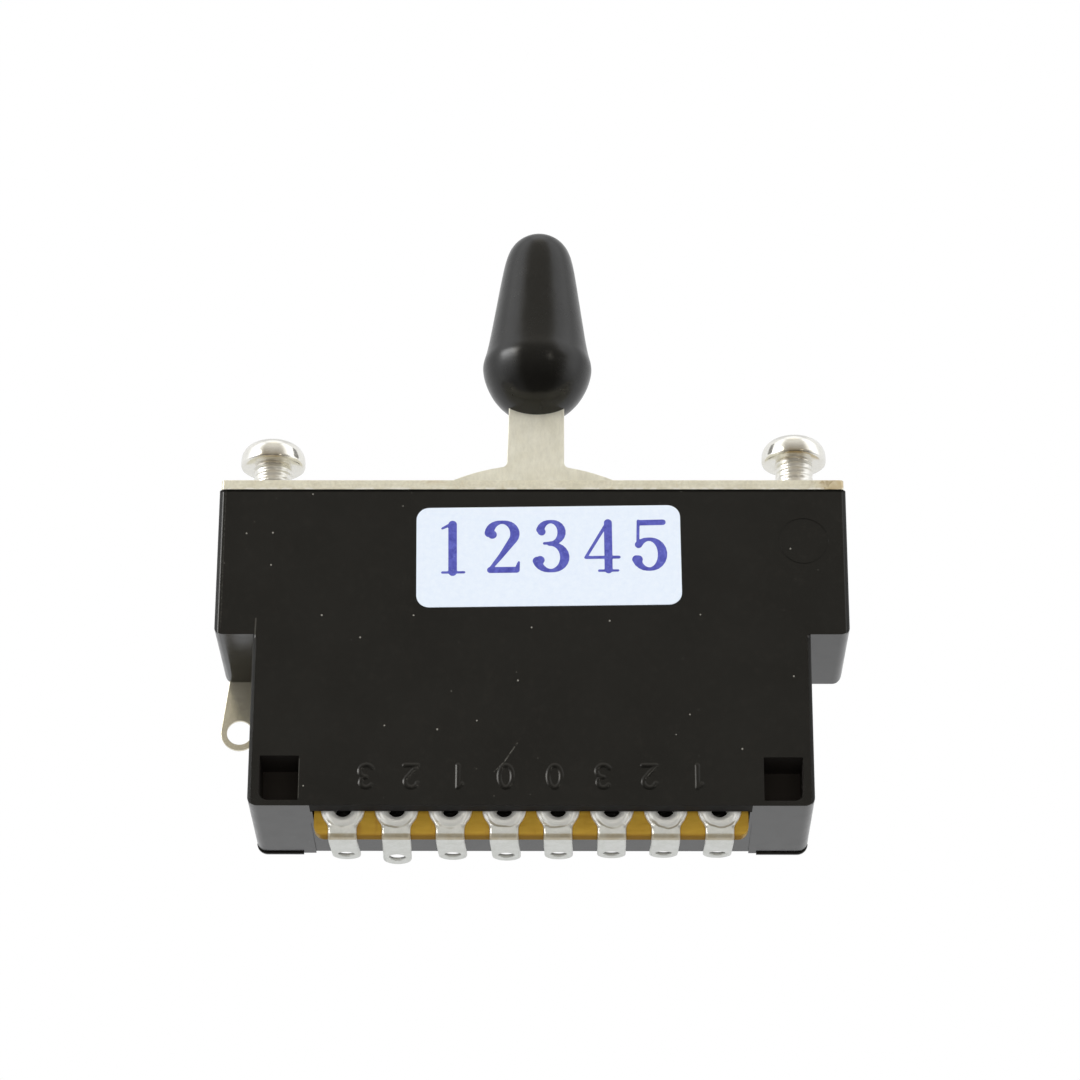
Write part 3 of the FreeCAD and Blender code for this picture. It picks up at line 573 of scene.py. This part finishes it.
def glyphs(name, items, step, width, level, height, foot, place, material):
    """items are (strokes, size mm, x centre mm, baseline mm, turned). place maps (u, v, h) in mm to the row frame."""
    verts, faces = [], []
    for strokes, size, uc, vb, turned in items:
        g = step / size
        xs = np.arange(-0.14, 0.80, g)
        zs = np.arange(-0.12, 1.12, g)
        X, Z = np.meshgrid(xs, zs)
        F = stroke_field(strokes, X, Z, width) * size
        v, f = contour_mesh(F, xs, zs, level, height, foot)
        base = len(verts)
        for x, z, h in v:
            u, w = (x - 0.31) * size, z * size
            if turned:
                u, w = -u, size - w
            verts.append(place(uc + u, vb + w, h))
        faces += [tuple(i + base for i in face) for face in f]
    o = mesh_object(name, verts, faces, material, smooth=True)
    bm = bmesh.new()
    bm.from_mesh(o.data)
    bmesh.ops.recalc_face_normals(bm, faces=bm.faces)
    bm.to_mesh(o.data)
    bm.free()
    return o


# raised numbers above the solder lugs, moulded upside down
def relief(f):
    t = min(max((0.17 - f) / 0.30, 0.0), 1.0)
    return -0.012 + 0.086 * math.sin(t * math.pi / 2) ** 1.25


row = [("3", -12.40), ("2", -8.97), ("1", -5.42), ("0", -1.88), ("0", 1.79), ("3", 5.40), ("2", 8.91), ("1", 12.55)]
moulded = glyphs(
    "moulded_numbers", [(SANS[c], 2.0, x, -25.38, True) for c, x in row], 0.05, 0.035, 0.17, relief, -0.05,
    lambda u, v, h: (u * MM, (-5.25 - h) * MM, v * MM), M["black_moulding"])
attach(moulded, "switch_body")

# plain numbers printed on the label
tilt = math.radians(0.75)


def on_label(u, v, h):
    x = 1.28 + u * math.cos(tilt) - v * math.sin(tilt)
    z = -6.44 + u * math.sin(tilt) + v * math.cos(tilt)
    return (x * MM, (-5.33 - h) * MM, z * MM)


printed = glyphs(
    "label_print", [(SERIF[c], 4.4, u, -1.38, False) for c, u in zip("12345", (-7.35, -3.6, 0.2, 4.0, 7.75))],
    0.07, None, 0.0, lambda f: 0.012, -0.01, on_label, M["label_ink"])
printed.data.polygons.foreach_set("use_smooth", [False] * len(printed.data.polygons))
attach(printed, "switch_body")


# ---------------------------------------------------------------- mounting screws
def revolve(profile, n):
    """Closed solid of revolution about Z from (r, z) points, first and last on the axis."""
    verts, faces, rings = [], [], []
    for r, z in profile:
        if r < 1e-9:
            rings.append([len(verts)])
            verts.append((0, 0, z))
        else:
            rings.append(list(range(len(verts), len(verts) + n)))
            verts += [(r * math.cos(2 * math.pi * k / n), r * math.sin(2 * math.pi * k / n), z) for k in range(n)]
    for a, b in zip(rings, rings[1:]):
        for k in range(n):
            k1 = (k + 1) % n
            if len(a) == 1:
                faces.append((a[0], b[k], b[k1]))
            elif len(b) == 1:
                faces.append((a[k], b[0], a[k1]))
            else:
                faces.append((a[k], b[k], b[k1], a[k1]))
    return verts, faces


def screw(name, node, x, h, turn):
    """M3 pan head with a cross recess and a cut thread, its head's underside at z = h mm."""
    n, pitch, r_out, r_in = 64, 0.5, 1.49, 1.425
    z0, z1 = h - 12.0, h + 0.32                            # no row of points in the head's underside
    rows = int((z1 - z0) / (pitch / 10))
    verts, faces = [], []
    for j in range(rows + 1):
        z = z0 + (z1 - z0) * j / rows
        for k in range(n):
            a = 2 * math.pi * k / n
            ph = ((z - z0) / pitch - a / (2 * math.pi)) % 1.0
            tri = 1 - abs(2 * ph - 1)                     # 0 at the root, 1 at the crest
            cut = 0.5 - 0.5 * math.cos(math.pi * tri)
            r = r_in + (r_out - r_in) * cut
            r = min(r, 1.0 + (z - z0) * 1.0)               # lead-in at the tip
            if z > h - 0.35:                               # thread runs out under the head
                r = max(r, 1.45)
            verts.append((r * math.cos(a), r * math.sin(a), z))
    for j in range(rows):
        for k in range(n):
            k1 = (k + 1) % n
            faces.append((j * n + k, j * n + k1, (j + 1) * n + k1, (j + 1) * n + k))
    b = len(verts)
    verts.append((0, 0, z0))
    faces += [(b, (k + 1) % n, k) for k in range(n)]
    verts.append((0, 0, z1))
    faces += [(b + 1, rows * n + k, rows * n + (k + 1) % n) for k in range(n)]
    shank = mesh_object(name + "_shank", verts, faces, M["bright_screw"], True)

    prof = [(0, h - 0.0), (1.3, h), (2.28, h), (2.42, h + 0.03), (2.5, h + 0.09), (2.54, h + 0.19), (2.55, h + 0.3),
            (2.55, h + 0.55)]
    for i in range(1, 13):
        a = math.radians(7.0 + 83.0 * i / 12)
        prof.append((2.55 - 1.65 * (1 - math.cos(a)) ** 1.04, h + 0.55 + 1.51 * math.sin(a) ** 0.95))
    prof += [(0.6, h + 2.095), (0.3, h + 2.12), (0, h + 2.13)]
    hv, hf = revolve(prof, 96)
    head = mesh_object(name, hv, hf, M["bright_screw"], True)
    # tapered cross recess
    bm = bmesh.new()
    for turned in (False, True):
        ring = []
        for zz, long, wide in ((h + 0.95, 0.62, 0.16), (h + 1.35, 1.12, 0.27), (h + 2.4, 1.62, 0.36)):
            pts = [(-long, -wide), (long, -wide), (long, wide), (-long, wide)]
            if turned:
                pts = [(-v, u) for u, v in pts]
            ring.append([bm.verts.new((u, v, zz)) for u, v in pts])
        for a, b2 in zip(ring, ring[1:]):
            for k in range(4):
                bm.faces.new((a[k], a[(k + 1) % 4], b2[(k + 1) % 4], b2[k]))
        bm.faces.new(list(reversed(ring[0])))
        bm.faces.new(ring[-1])
    bmesh.ops.recalc_face_normals(bm, faces=bm.faces)
    me = bpy.data.meshes.new(name + "_tool")
    bm.to_mesh(me)
    bm.free()
    tool = bpy.data.objects.new(name + "_tool", me)
    scene.collection.objects.link(tool)
    for o in (head, shank):
        bm = bmesh.new()
        bm.from_mesh(o.data)
        bmesh.ops.recalc_face_normals(bm, faces=bm.faces)
        bm.to_mesh(o.data)
        bm.free()
    m = head.modifiers.new("recess", "BOOLEAN")
    m.operation, m.solver, m.object = "DIFFERENCE", "EXACT", tool
    m.use_self = True
    join = head.modifiers.new("shank", "BOOLEAN")
    join.operation, join.solver, join.object = "UNION", "EXACT", shank
    bpy.context.view_layer.update()
    dg = bpy.context.evaluated_depsgraph_get()
    done = bpy.data.meshes.new_from_object(head.evaluated_get(dg))
    head.modifiers.clear()
    old = head.data
    head.data = done
    bpy.data.meshes.remove(old)
    bpy.data.objects.remove(tool)
    bm = bmesh.new()
    bm.from_mesh(head.data)
    bmesh.ops.remove_doubles(bm, verts=bm.verts, dist=4e-4)
    bmesh.ops.dissolve_degenerate(bm, edges=bm.edges, dist=4e-4)
    bmesh.ops.triangulate(bm, faces=[f for f in bm.faces if len(f.verts) > 4])
    bm.transform(Matrix.Diagonal((MM, MM, MM, 1)))
    bm.transform(Matrix.Rotation(turn, 4, "Z"))
    bm.transform(Matrix.Translation((x * MM, 0, 0)))
    for f in bm.faces:
        f.smooth = True
    for e in bm.edges:
        if len(e.link_faces) == 2 and e.calc_face_angle(0) > math.radians(38):
            e.smooth = False
    bm.to_mesh(head.data)
    bm.free()
    bpy.data.objects.remove(shank)
    head.data.materials.clear()
    head.data.materials.append(M["bright_screw"])
    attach(head, "switch_body")
    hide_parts(node)
    return head


screw("threaded_screw_left", "mounting_screw_left", -20.65, 3.3, math.radians(20))
screw("threaded_screw_right", "mounting_screw_right", 20.65, 3.65, math.radians(65))

# ---------------------------------------------------------------- floor, camera, light
floor = mesh_object("floor", [(-3, -3, -0.36), (3, -3, -0.36), (3, 3, -0.36), (-3, 3, -0.36)], [(0, 1, 2, 3)], None)
fs = Shade("pale_floor", specular=0.2)
fs.color(fs.blend(fs.span(fs.noise(40.0, 3.0, 0.5), 0.3, 0.7), (0.43, 0.435, 0.44), (0.46, 0.462, 0.465)))
fs.rough(0.75)
fs.bump(fs.noise(2.0, 3.0, 0.6), 0.05, 0.1)
floor.data.materials.clear()
floor.data.materials.append(fs.mat)
floor.visible_glossy = False

pitch, yaw, roll = 0.40693, -0.01005, 0.00415
look = Vector((math.sin(yaw) * math.cos(pitch), math.cos(yaw) * math.cos(pitch), math.sin(pitch)))
side = Vector((math.cos(yaw), -math.sin(yaw), 0))
lift = side.cross(look)
right = side * math.cos(roll) + lift * math.sin(roll)
up = lift * math.cos(roll) - side * math.sin(roll)
cam_data = bpy.data.cameras.new("camera")
cam_data.sensor_fit = "HORIZONTAL"
cam_data.sensor_width = 36.0
cam_data.lens = 36.0 * 3657.7 / 1080.0
cam_data.clip_start, cam_data.clip_end = 0.01, 50
cam = bpy.data.objects.new("camera", cam_data)
cam.matrix_world = Matrix((
    (right.x, up.x, -look.x, 3.208 * MM),
    (right.y, up.y, -look.y, -264.229 * MM),
    (right.z, up.z, -look.z, -116.695 * MM),
    (0, 0, 0, 1)))
scene.collection.objects.link(cam)
scene.camera = cam

world = bpy.data.worlds.new("studio")
scene.world = world
world.use_nodes = True
wt = world.node_tree
wt.nodes.clear()


def wmath(op, a, b=0.0, clamp=False):
    n = wt.nodes.new("ShaderNodeMath")
    n.operation = op
    n.use_clamp = clamp
    for i, v in enumerate((a, b)):
        if isinstance(v, bpy.types.NodeSocket):
            wt.links.new(v, n.inputs[i])
        else:
            n.inputs[i].default_value = v
    return n.outputs[0]


def wspan(v, a, b, lo=0.0, hi=1.0):
    n = wt.nodes.new("ShaderNodeMapRange")
    n.interpolation_type = "SMOOTHSTEP"
    wt.links.new(v, n.inputs[0])
    for i, x in enumerate((a, b, lo, hi)):
        n.inputs[i + 1].default_value = x
    return n.outputs[0]


wo = wt.nodes.new("ShaderNodeOutputWorld")
co = wt.nodes.new("ShaderNodeTexCoord")
nrm = wt.nodes.new("ShaderNodeVectorMath")
nrm.operation = "NORMALIZE"
wt.links.new(co.outputs["Generated"], nrm.inputs[0])
sep = wt.nodes.new("ShaderNodeSeparateXYZ")
wt.links.new(nrm.outputs[0], sep.inputs[0])
dx, dy, dz = sep.outputs
azimuth = wmath("ARCTAN2", wmath("ABSOLUTE", dx), wmath("MULTIPLY", dy, -1.0))   # 0 towards -Y
# behind the part (+Y) a pale table; to the sides of the viewer bright panels, in the middle an unlit room
# low on the right the unlit part reaches further round
reach = wmath("MULTIPLY", wmath("GREATER_THAN", dx, 0.0), wspan(dz, 0.15, 0.38, math.radians(17), 0.0))
middle = wspan(wmath("SUBTRACT", azimuth, reach), math.radians(32), math.radians(58), 1.0, 0.0)
behind = wspan(azimuth, math.radians(84), math.radians(104), 0.0, 1.0)
room = wmath("ADD", wspan(dz, -0.60, 0.45, 0.05, 0.37), wspan(dz, 0.45, 0.92, 0.0, 0.32))
panels = wspan(dz, -0.55, 0.0, 0.32, 1.45)
front_l = wmath("ADD", wmath("MULTIPLY", room, middle), wmath("MULTIPLY", panels, wmath("SUBTRACT", 1.0, middle)))
level = wmath("ADD", wmath("MULTIPLY", front_l, wmath("SUBTRACT", 1.0, behind)), wmath("MULTIPLY", behind, 0.90))
overhead = wmath("MULTIPLY", wspan(wmath("ABSOLUTE", dx), 0.20, 0.40, 1.0, 0.0), wspan(dz, 0.60, 0.82, 0.0, 1.0))
level = wmath("ADD", wmath("MULTIPLY", level, wmath("SUBTRACT", 1.0, overhead)), wmath("MULTIPLY", overhead, 0.66))


def pane(azim, elev, inner, outer, value):
    """A small bright window towards (azim from -Y, elev), in degrees."""
    a, e = math.radians(azim), math.radians(elev)
    to = (math.sin(a) * math.cos(e), -math.cos(a) * math.cos(e), math.sin(e))
    dot = wmath("ADD", wmath("ADD", wmath("MULTIPLY", dx, to[0]), wmath("MULTIPLY", dy, to[1])),
                wmath("MULTIPLY", dz, to[2]))
    return wspan(dot, math.cos(math.radians(outer)), math.cos(math.radians(inner)), 0.0, value)


zenith = wspan(dz, 0.93, 0.99, 0.0, 1.0)
level = wmath("ADD", wmath("MULTIPLY", level, wmath("SUBTRACT", 1.0, zenith)), wmath("MULTIPLY", zenith, 1.25))
path = wt.nodes.new("ShaderNodeLightPath")
round_to = wmath("ARCTAN2", dx, wmath("MULTIPLY", dy, -1.0))
window = wmath("MULTIPLY", wspan(wmath("ABSOLUTE", wmath("ADD", round_to, math.radians(60))),
                                 math.radians(9), math.radians(25), 1.0, 0.0),
               wspan(wmath("ABSOLUTE", wmath("SUBTRACT", dz, 0.30)), 0.08, 0.26, 7.5, 0.0))
glints = wmath("MULTIPLY", wmath("ADD", window, pane(27, 0, 1.5, 3.5, 7.0)), path.outputs["Is Glossy Ray"])
level = wmath("ADD", level, glints)
tint = wt.nodes.new("ShaderNodeMix")
tint.data_type = "RGBA"
wt.links.new(wmath("MULTIPLY", middle, wmath("SUBTRACT", 1.0, behind)), tint.inputs["Factor"])
tint.inputs[6].default_value = (1.0, 1.005, 1.01, 1.0)
tint.inputs[7].default_value = (1.0, 0.95, 0.84, 1.0)
lit = wt.nodes.new("ShaderNodeBackground")
wt.links.new(tint.outputs[2], lit.inputs["Color"])
wt.links.new(level, lit.inputs["Strength"])
seen = wt.nodes.new("ShaderNodeBackground")
seen.inputs["Color"].default_value = (1, 1, 1, 1)
seen.inputs["Strength"].default_value = 1.0
pick = wt.nodes.new("ShaderNodeMixShader")
wt.links.new(path.outputs["Is Camera Ray"], pick.inputs[0])
wt.links.new(lit.outputs[0], pick.inputs[1])
wt.links.new(seen.outputs[0], pick.inputs[2])
wt.links.new(pick.outputs[0], wo.inputs["Surface"])


def area(name, at, to, size, power, tint=(1, 1, 1), glossy=True):
    d = bpy.data.lights.new(name, "AREA")
    d.shape = "RECTANGLE"
    d.size, d.size_y = size
    d.energy = power
    d.color = tint
    o = bpy.data.objects.new(name, d)
    o.location = at
    o.rotation_euler = (Vector(to) - Vector(at)).to_track_quat("-Z", "Y").to_euler()
    o.visible_glossy = glossy
    scene.collection.objects.link(o)
    return o


area("fill", (0.03, -0.53, 0.31), (0, 0, -0.005), (0.50, 0.28), 0.75, (1.0, 0.99, 0.97), glossy=False)
area("fill_low", (0.02, -0.54, -0.18), (0, 0, -0.020), (0.50, 0.20), 1.30, (1.0, 0.99, 0.97), glossy=False)

scene.view_settings.view_transform = "Standard"
scene.view_settings.look = "None"
scene.view_settings.exposure = 0.0
scene.view_settings.gamma = 1.0
scene.cycles.use_denoising = True
